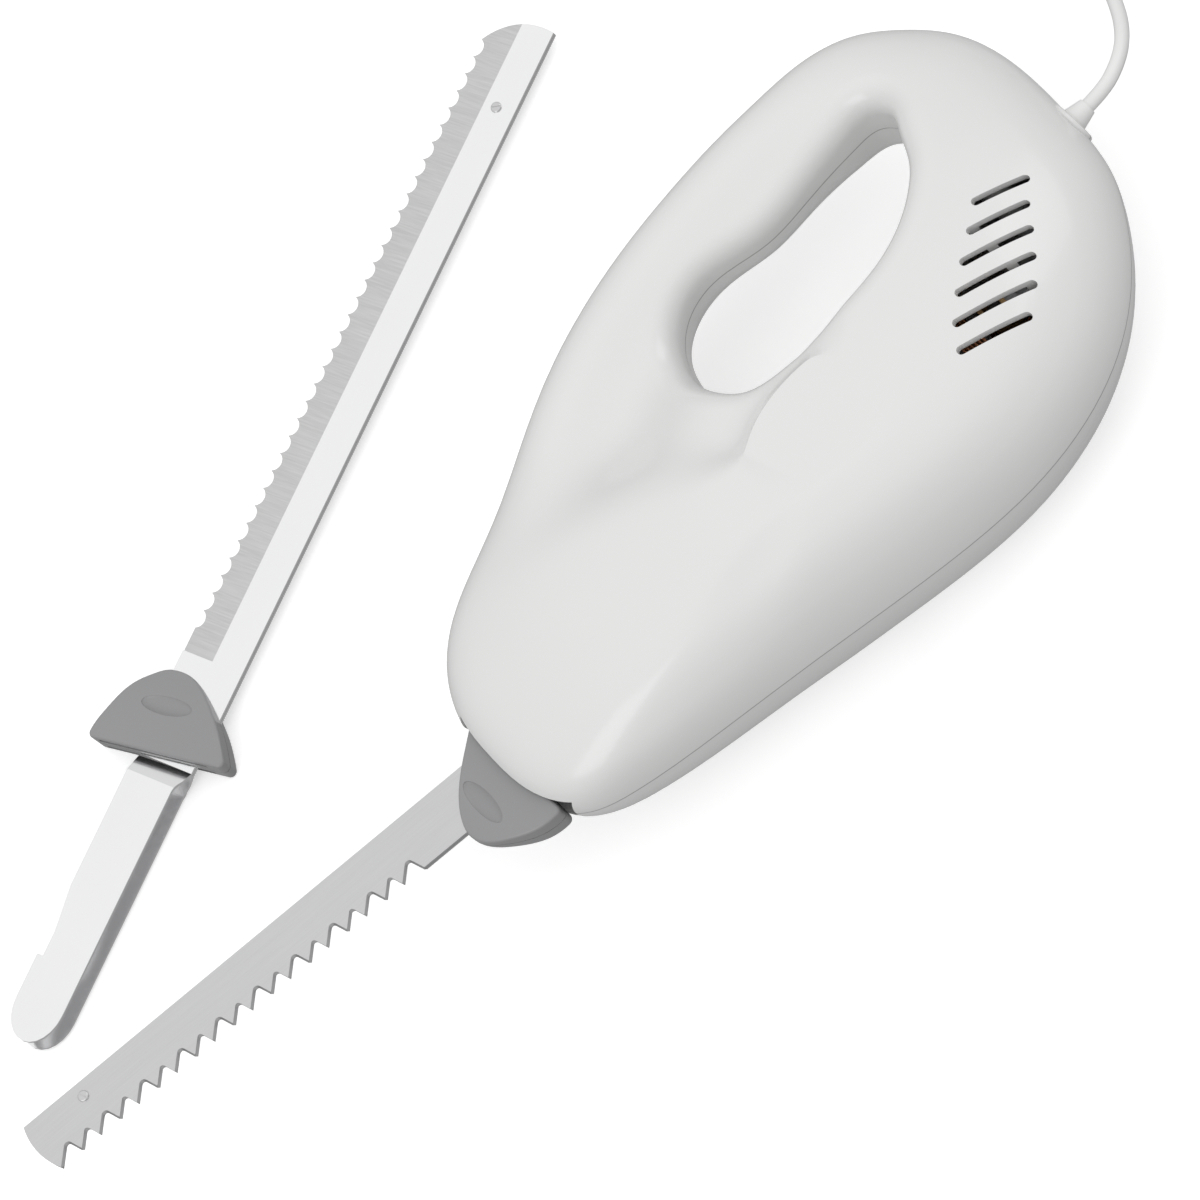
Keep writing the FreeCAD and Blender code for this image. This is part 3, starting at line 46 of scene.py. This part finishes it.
# camera: a long lens that looks down on the left side of the knife
camera = {
    "eye": (0.092687, -1.163705, 1.994304),
    "right": (0.692361, -0.615121, -0.377177),
    "up": (0.720708, 0.614817, 0.320282),
    "back": (0.034883, -0.493586, 0.868998),
    "lens": 240.0,
    "sensor": 36.0,
    "nearest": 0.05,
}


def placeCamera(plan):
    data = bpy.data.cameras.new("studioCamera")
    data.lens = plan["lens"]
    data.sensor_width = plan["sensor"]
    data.clip_start = plan["nearest"]
    eye = bpy.data.objects.new("studioCamera", data)
    scene.collection.objects.link(eye)
    turn = Matrix((plan["right"], plan["up"], plan["back"])).transposed()
    eye.matrix_world = Matrix.Translation(plan["eye"]) @ turn.to_4x4()
    scene.camera = eye


placeCamera(camera)
print("camera placed")

# mains cord: the route's points in metres, then the turns of the coil and the tail to the plug
cord = {
    "radius": 0.0022,
    "pitch": 0.0049,
    "length": 1.1485,
    "lead": [
        (0.2090618, -0.0544648, 0.0360), (0.2156618, -0.0544648, 0.0360), (0.2223618, -0.0518648, 0.0351),
        (0.2283618, -0.0472648, 0.0331), (0.2333618, -0.0398648, 0.0295), (0.2375618, -0.0290648, 0.0240),
        (0.2416618, -0.0149648, 0.0170), (0.2466618, 0.0011352, 0.0094), (0.2534618, 0.0190352, 0.0028),
        (0.2594618, 0.0294275, 0.0028),
    ],
    "coilMiddle": (0.2889416, 0.0174880, 0.0028),
    "coilRadius": 0.0315,
    "halfTurns": 7,  # in the bottom layer, and one fewer on top
    "stepsPerHalfTurn": 8,
    "fit": 1.0064,  # control points stand this much outside the turns
    "tail": 0.0244,
    "stepsAlong": 6,
    "stepsRound": 5,
}
ahead = Vector((0.5, math.sqrt(0.75), 0))
across = Vector((-ahead.y, ahead.x, 0))


def coilPoints(plan):
    points = []
    middle = Vector(plan["coilMiddle"])
    steps = plan["stepsPerHalfTurn"]
    x = plan["coilRadius"]
    way = 1
    lift = 0.0
    radii = [plan["coilRadius"] - plan["pitch"] / 2 * k for k in range(plan["halfTurns"])]
    climbing = len(radii)
    radii += [radii[-1] - plan["pitch"] / 2]
    radii += [radii[climbing] + plan["pitch"] / 2 * k for k in range(1, plan["halfTurns"])]
    for turn, radius in enumerate(radii):
        centreX = x - way * radius
        for step in range(steps):
            share = (step + 0.5) / steps
            angle = math.pi * share
            rise = plan["pitch"] * share if turn == climbing else lift
            along = centreX + way * radius * plan["fit"] * math.cos(angle)
            side = way * radius * plan["fit"] * math.sin(angle)
            points.append(middle + across * along + ahead * side + Vector((0, 0, rise)))
        if turn == climbing:
            lift = plan["pitch"]
        x = centreX - way * radius
        way = -way
    last = middle + across * x + Vector((0, 0, lift))
    points += [last, last + ahead * plan["tail"] * 0.5, last + ahead * plan["tail"]]
    return points


def layCord(plan):
    route = [Vector(point) for point in plan["lead"]] + coilPoints(plan)
    data = bpy.data.curves.new("mainsCordSkin", "CURVE")
    data.dimensions = "3D"
    data.resolution_u = plan["stepsAlong"]
    data.bevel_depth = 1.0  # each point's own radius sets the thickness
    data.bevel_resolution = plan["stepsRound"]
    data.use_fill_caps = True
    line = data.splines.new("NURBS")
    line.points.add(len(route) - 1)
    for spot, point in zip(line.points, route):
        spot.co = (*point, 1.0)
        spot.radius = plan["radius"]
    line.order_u = 3
    line.use_endpoint_u = True
    piece = bpy.data.objects.new("mainsCordSkin", data)
    scene.collection.objects.link(piece)
    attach(piece, "housing")
    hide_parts("mains_cord", "cord_coil", "cord_tail")
    return piece


cordSkin = layCord(cord)
print("cord laid")


# finishes: sums on sockets are written as plain expressions
class Tone:
    def __init__(self, look, socket):
        self.look = look
        self.socket = socket

    def sum(self, operation, first, second):
        return self.look.node("ShaderNodeMath", {"operation": operation}, {0: first, 1: second})

    def __add__(self, other):
        return self.sum("ADD", self, other)

    def __radd__(self, other):
        return self.sum("ADD", other, self)

    def __sub__(self, other):
        return self.sum("SUBTRACT", self, other)

    def __mul__(self, other):
        return self.sum("MULTIPLY", self, other)

    def __lt__(self, other):
        return self.sum("LESS_THAN", self, other)

    def __abs__(self):
        return self.look.node("ShaderNodeMath", {"operation": "ABSOLUTE"}, {0: self})


class Look:
    def __init__(self, name):
        self.material = bpy.data.materials.new(name)
        self.material.use_nodes = True
        self.tree = self.material.node_tree
        self.shader = next(item for item in self.tree.nodes if item.type == "BSDF_PRINCIPLED")
        self.spot = self.node("ShaderNodeTexCoord", {}, {}, "Object")

    def node(self, kind, settings, sockets, out=0):
        item = self.tree.nodes.new(kind)
        for key, value in settings.items():
            setattr(item, key, value)
        for key, value in sockets.items():
            self.feed(item.inputs[key], value)
        return Tone(self, item.outputs[out])

    def feed(self, socket, value):
        if isinstance(value, Tone):
            self.tree.links.new(value.socket, socket)
        else:
            socket.default_value = value

    def set(self, **values):
        for key, value in values.items():
            self.feed(self.shader.inputs[key.replace("_", " ")], value)

    def noise(self, scale, detail=3.0, stretch=None, turn=0.0):
        place = self.spot
        if stretch:
            place = self.turned(turn, stretch)
        return self.noiseAt(place, scale, detail)

    def noiseAt(self, place, scale, detail):
        sockets = {"Vector": place, "Scale": scale, "Detail": detail}
        return self.node("ShaderNodeTexNoise", {}, sockets, "Fac")

    def turned(self, turn, stretch=(1, 1, 1), start=(0, 0, 0)):
        # the place on the piece, moved to start, turned about Z and stretched
        moved = self.node("ShaderNodeVectorMath", {"operation": "SUBTRACT"}, {0: self.spot, 1: start})
        spin = self.node("ShaderNodeMapping", {}, {"Vector": moved, "Rotation": (0, 0, turn)})
        return self.stretched(spin, stretch)

    def stretched(self, place, stretch):
        return self.node("ShaderNodeVectorMath", {"operation": "MULTIPLY"}, {0: place, 1: stretch})

    def axis(self, place, letter):
        return self.node("ShaderNodeSeparateXYZ", {}, {0: place}, letter)

    def ramp(self, value, low, high, first=0.0, last=1.0):
        return self.node("ShaderNodeMapRange", {"interpolation_type": "SMOOTHSTEP"},
                         {"Value": value, "From Min": low, "From Max": high, "To Min": first, "To Max": last})

    def mix(self, share, first, second):
        return self.node("ShaderNodeMix", {"data_type": "RGBA"}, {0: share, 6: first, 7: second}, 2)

    def bump(self, height, strength, distance):
        sockets = {"Strength": strength, "Distance": distance, "Height": height}
        self.set(Normal=self.node("ShaderNodeBump", {}, sockets))


def shade(colour, factor):
    return (colour[0] * factor, colour[1] * factor, colour[2] * factor, 1.0)


# moulded plastic: nearly even colour, faint cloudiness, fine mould texture
def mouldedPlastic(name, colour, roughness, grain):
    look = Look(name)
    cloud = look.noise(14.0)
    fine = look.noise(1500.0, 2.0)
    look.set(Base_Color=look.mix(cloud, shade(colour, 0.965), shade(colour, 1.025)))
    look.set(Roughness=roughness - 0.03 + cloud * 0.06)
    look.bump(fine, grain, 0.0002)
    return look


# plain metal: cloudy wear and a fine grain
def plainMetal(name, colour, roughness, scale=90.0):
    look = Look(name)
    cloud = look.noise(scale)
    fine = look.noise(scale * 14, 2.0)
    look.set(Base_Color=look.mix(cloud, shade(colour, 0.86), shade(colour, 1.06)))
    look.set(Metallic=1.0, Roughness=roughness - 0.06 + cloud * 0.12)
    look.bump(fine, 0.08, 0.0002)
    return look


# white body shell: glossy, with the parting line of its two halves drawn as a thin dark line of painted shade
shell = {
    "colour": (0.72, 0.72, 0.715),
    "roughness": 0.24,
    "parting": 0.036,  # height of the parting plane
    "seam": 0.00013,
    # how dark the parting line is painted: painted shade of the groove between the halves
    "paintedSeamShade": 0.42,
    "coat": 0.25,
    "coatRoughness": 0.08,
    "index": 1.5,
}


def shellLook(plan):
    look = Look("glossWhiteShell")
    cloud = look.noise(9.0)
    fine = look.noise(700.0, 2.0)
    height = look.axis(look.spot, "Z")
    seam = look.ramp(abs(height - plan["parting"]), plan["seam"], plan["seam"] * 2.4, 1.0, 0.0)
    colour = look.mix(cloud, shade(plan["colour"], 0.985), shade(plan["colour"], 1.012))
    # the parting line's dark colour is painted shade standing in for the groove between the halves; its
    # roughness and bump stand for the groove itself
    look.set(Base_Color=look.mix(seam, colour, shade(plan["colour"], plan["paintedSeamShade"])))
    look.set(Roughness=plan["roughness"] - 0.03 + cloud * 0.06 + seam * 0.3)
    look.set(Coat_Weight=plan["coat"], Coat_Roughness=plan["coatRoughness"], IOR=plan["index"])
    look.bump(fine * 0.1 - seam, 0.12, 0.0003)
    return look


# saw blades: satin steel, finely streaked along the blade
sawBlade = {
    "colour": (0.60, 0.60, 0.605),
    "roughness": 0.36,
    "turn": math.radians(7.5),
    "streaks": (60, 2600, 2600),
}


def sawLook(plan):
    look = Look("satinSawSteel")
    streak = look.noise(1.0, 3.0, plan["streaks"], plan["turn"])
    cloud = look.noise(30.0)
    look.set(Base_Color=look.mix(streak, shade(plan["colour"], 0.93), shade(plan["colour"], 1.06)))
    look.set(Metallic=1.0, Roughness=plan["roughness"] - 0.1 + streak * 0.1 + cloud * 0.08)
    look.bump(streak, 0.05, 0.0002)
    return look


# spare blades: polished flats and a band along the edge that is ground across the blade
spareBlade = {
    "flat": (0.86, 0.86, 0.865),
    "ground": (0.60, 0.60, 0.60),
    "start": (-0.1011382, 0.0365352, 0.0),  # where the set's own axes cross, in metres
    "turn": math.radians(-200.9),
    "bandTop": -0.0001,
    "bandEnd": -0.0230,
    "bandBlur": 0.00006,
    "scratches": (2300, 90, 90),
}


def spareLook(plan):
    look = Look("brightSpareSteel")
    place = look.turned(plan["turn"], (1, 1, 1), plan["start"])
    along = look.axis(place, "X")
    up = look.axis(place, "Y")
    blur = plan["bandBlur"]
    band = look.ramp(up, plan["bandTop"] - blur, plan["bandTop"] + blur, 1.0, 0.0)
    band = band * (along < plan["bandEnd"])
    scratch = look.noiseAt(look.stretched(place, plan["scratches"]), 1.0, 3.0)
    # sheen noise: in the flats' colour it is a painted reflection, faint blotches of brightness; in their
    # roughness it is real variation of the polish
    sheen = look.noise(22.0)
    ground = look.mix(scratch, shade(plan["ground"], 0.80), shade(plan["ground"], 1.16))
    flat = look.mix(sheen, shade(plan["flat"], 0.97), shade(plan["flat"], 1.02))
    look.set(Base_Color=look.mix(band, flat, ground), Metallic=1.0)
    look.set(Roughness=0.13 + sheen * 0.05 + band * (0.2 + scratch * 0.1))
    look.bump(scratch * band, 0.12, 0.0002)
    return look


# copper: wound wire laid round the axis of the motor
def windingLook(name, colour):
    look = Look(name)
    rings = look.node("ShaderNodeTexWave", {"bands_direction": "X"},
                      {"Vector": look.spot, "Scale": 260.0, "Distortion": 1.5, "Detail": 2.0}, "Fac")
    # darker in the grooves between turns and lighter on their crests: painted shade and painted highlight of
    # the wire's relief
    look.set(Base_Color=look.mix(rings, shade(colour, 0.6), shade(colour, 1.1)))
    look.set(Metallic=1.0, Roughness=0.28 + rings * 0.1)
    look.bump(rings, 0.5, 0.0004)
    return look


looks = {
    "white_plastic": shellLook(shell),
    "grey_plastic": mouldedPlastic("greyGuardPlastic", (0.27, 0.27, 0.275), 0.32, 0.05),
    "satin_steel": sawLook(sawBlade),
    "bright_steel": spareLook(spareBlade),
    "cord_white": mouldedPlastic("softCordPlastic", (0.76, 0.76, 0.755), 0.42, 0.06),
    "plug_white": mouldedPlastic("plugPlastic", (0.72, 0.72, 0.715), 0.3, 0.06),
    "tie_black": mouldedPlastic("tieStrip", (0.03, 0.03, 0.032), 0.5, 0.2),
    "pin_metal": plainMetal("pinNickel", (0.72, 0.70, 0.65), 0.2),
    "dark_steel": plainMetal("plainSteel", (0.42, 0.42, 0.43), 0.35),
    "gear_plastic": mouldedPlastic("gearPlastic", (0.72, 0.69, 0.6), 0.42, 0.08),
    "bearing_bronze": plainMetal("sinteredBronze", (0.55, 0.36, 0.18), 0.42, 160.0),
    "copper": windingLook("woundCopper", (0.62, 0.27, 0.14)),
    "carbon": mouldedPlastic("pressedCarbon", (0.03, 0.03, 0.03), 0.55, 0.3),
    "black_plastic": mouldedPlastic("blackPlastic", (0.03, 0.03, 0.032), 0.4, 0.1),
    "lead_grey": mouldedPlastic("leadSleeve", (0.42, 0.42, 0.42), 0.45, 0.06),
}
print("finishes made:", len(looks))

# CAD nodes: outer ones are welded copies that stay sharp above this angle, inner ones keep their mesh
outer = {
    "left_housing": 24, "right_housing": 24,
    "left_guard": 24, "right_guard": 24, "spare_left_guard": 24, "spare_right_guard": 24,
    "left_blade": 20, "right_blade": 20, "spare_left_blade": 20, "spare_right_blade": 20,
    "blade_rivet": 30, "spare_blade_rivet": 30,
    "power_button": 24, "release_button": 24,
    "cord_bushing": 30, "housing_screws": 30,
}
weldReach = 0.000003
slotOf = {part["node"]: part["material_slot"] for part in frame["record"]["subparts"]}
bodyOf = {name: body for body, names in frame["record"]["behaviour"]["bodies"].items() for name in names}


def paint(piece, slot):
    piece.data.materials.clear()
    piece.data.materials.append(looks[slot].material)


def skinOf(name, sharpAngle):
    # one welded copy of the node, smooth but for its real edges
    mesh = frame["nodes"][name].data.copy()
    work = bmesh.new()
    work.from_mesh(mesh)
    bmesh.ops.remove_doubles(work, verts=work.verts, dist=weldReach)
    work.to_mesh(mesh)
    work.free()
    if "custom_normal" in mesh.attributes:
        mesh.attributes.remove(mesh.attributes["custom_normal"])
    mesh.shade_smooth()
    mesh.set_sharp_from_angle(angle=math.radians(sharpAngle))
    piece = bpy.data.objects.new(name + "_skin", mesh)
    scene.collection.objects.link(piece)
    paint(piece, slotOf[name])
    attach(piece, bodyOf[name])
    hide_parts(name)
    return piece


cordSkin.data.materials.append(looks["cord_white"].material)
for name, node in frame["nodes"].items():
    if name in outer:
        skinOf(name, outer[name])
    else:
        paint(node, slotOf[name])
print("nodes dressed")

# cord exit: an oval moulded lip round the strain relief
exitLip = {
    "place": (0.2026, -0.0544648, 0.036),
    "reach": 0.0054,  # from the cord to the middle of the bead
    "stretch": 1.22,  # the lip is longer along the back of the housing
    "bead": 0.0010,
    "beadSides": 14,
    "steps": 48,
    "weld": 0.000001,
}


def makeLip(plan):
    work = bmesh.new()
    bmesh.ops.create_circle(work, cap_ends=False, radius=plan["bead"], segments=plan["beadSides"])
    bmesh.ops.translate(work, verts=work.verts, vec=(0, plan["reach"], 0))
    bmesh.ops.spin(work, geom=work.verts[:] + work.edges[:], cent=(0, 0, 0), axis=(1, 0, 0),
                   angle=2 * math.pi, steps=plan["steps"], use_merge=True)
    bmesh.ops.remove_doubles(work, verts=work.verts, dist=plan["weld"])
    bmesh.ops.scale(work, verts=work.verts, vec=(1, plan["stretch"], 1))
    bmesh.ops.translate(work, verts=work.verts, vec=plan["place"])
    bmesh.ops.recalc_face_normals(work, faces=work.faces)
    mesh = bpy.data.meshes.new("cordExitLip")
    work.to_mesh(mesh)
    work.free()
    mesh.shade_smooth()
    piece = bpy.data.objects.new("cordExitLip", mesh)
    scene.collection.objects.link(piece)
    paint(piece, "white_plastic")
    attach(piece, "housing")


makeLip(exitLip)
print("cord exit lip made")

# studio: a pale floor that throws no light back, a sky that darkens downwards and two soft boxes
studio = {
    "floor": 3.0,
    "floorHeight": -0.0002,
    "floorRoughness": 0.9,
    "floorColour": (0.80, 0.80, 0.80, 1.0),
    "floorGlow": 0.42,
    "skyTop": 1.0,
    "skyBottom": 0.38,
    "skySpan": (-0.35, 0.75),  # heights on the unit sphere between which the sky brightens
    "boxes": [
        {"place": (-1.5, -0.7, 1.5), "size": 1.2, "power": 7.0},
        {"place": (1.5, 0.2, 1.2), "size": 1.0, "power": 4.0},
    ],
}


def buildStudio(plan):
    work = bmesh.new()
    bmesh.ops.create_grid(work, x_segments=1, y_segments=1, size=plan["floor"])
    bmesh.ops.translate(work, verts=work.verts, vec=(0, 0, plan["floorHeight"]))
    mesh = bpy.data.meshes.new("studioFloor")
    work.to_mesh(mesh)
    work.free()
    floor = bpy.data.objects.new("studioFloor", mesh)
    scene.collection.objects.link(floor)
    look = Look("paleFloor")
    look.set(Base_Color=plan["floorColour"], Roughness=plan["floorRoughness"])
    look.set(Emission_Color=(1, 1, 1, 1), Emission_Strength=plan["floorGlow"])
    mesh.materials.append(look.material)
    floor.visible_diffuse = False
    floor.visible_glossy = False
    scene.world = bpy.data.worlds.new("studioSky")
    scene.world.use_nodes = True
    tree = scene.world.node_tree
    way = tree.nodes.new("ShaderNodeTexCoord")
    split = tree.nodes.new("ShaderNodeSeparateXYZ")
    rise = tree.nodes.new("ShaderNodeMapRange")
    for socket, value in zip(("From Min", "From Max", "To Min", "To Max"),
                             (*plan["skySpan"], plan["skyBottom"], plan["skyTop"])):
        rise.inputs[socket].default_value = value
    tree.nodes["Background"].inputs["Color"].default_value = (1, 1, 1, 1)
    tree.links.new(way.outputs["Generated"], split.inputs["Vector"])
    tree.links.new(split.outputs["Z"], rise.inputs["Value"])
    tree.links.new(rise.outputs["Result"], tree.nodes["Background"].inputs["Strength"])
    for box in plan["boxes"]:
        data = bpy.data.lights.new("softBox", "AREA")
        data.size = box["size"]
        data.energy = box["power"]
        lamp = bpy.data.objects.new("softBox", data)
        lamp.location = box["place"]
        lamp.rotation_euler = (-Vector(box["place"])).to_track_quat("-Z", "Y").to_euler()
        scene.collection.objects.link(lamp)
    scene.view_settings.view_transform = "Standard"


buildStudio(studio)
print("studio built")

bpy.context.view_layer.update()
